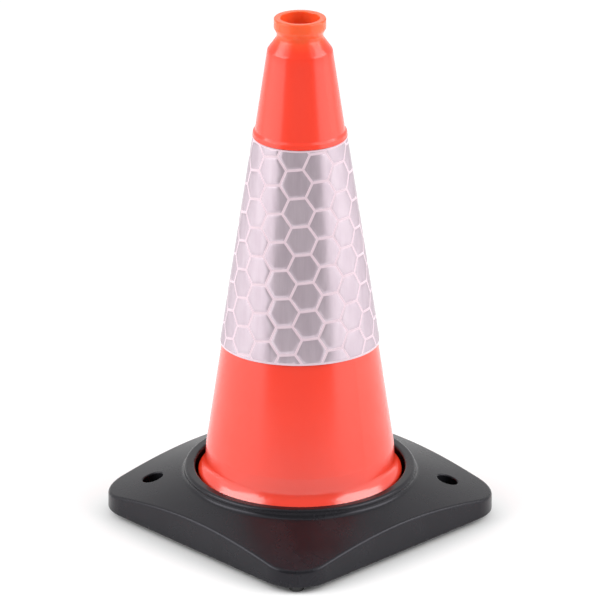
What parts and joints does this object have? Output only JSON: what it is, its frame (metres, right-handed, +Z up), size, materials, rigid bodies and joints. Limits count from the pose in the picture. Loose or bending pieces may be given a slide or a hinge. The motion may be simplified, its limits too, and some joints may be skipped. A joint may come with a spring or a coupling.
{
  "type": "traffic cone",
  "caption": "Two-piece road cone: hollow orange cone with a collar at the top and a reflective sleeve, standing in the ring of a heavy square lift-off base.",
  "frame": {"origin": "on the floor, under the middle of the cone", "axes": "+Z up along the cone axis; X and Y parallel to the sides of the base; the fixing holes are in the +X+Y and -X-Y corners"},
  "size_m": [0.2558, 0.2558, 0.45],
  "materials": {
    "cone_plastic": "satin, moulded polyethylene",
    "sleeve_sheet": "soft white PVC",
    "reflective_film": "clear glossy film over honeycomb prismatic cells",
    "base_rubber": "satin moulded black",
    "stud_rubber": "smooth, slightly glossy"
  },
  "bodies": {
    "cone": {"cone_body": "cone_plastic"},
    "base": {"base_plate": "base_rubber", "foot_front_right": "stud_rubber", "foot_front_left": "stud_rubber", "foot_back_left": "stud_rubber", "foot_back_right": "stud_rubber"},
    "sleeve": {"sleeve_backing": "sleeve_sheet", "sleeve_film": "reflective_film"}
  },
  "joints": [
    {"name": "base_lift", "type": "slide", "parent": "cone", "child": "base", "axis": [0, 0, 1], "range_m": [0, 0.46]},
    {"name": "sleeve_turn", "type": "hinge", "parent": "cone", "child": "sleeve", "pos_m": [0, 0, 0.255], "axis": [0, 0, 1], "continuous": true}
  ]
}
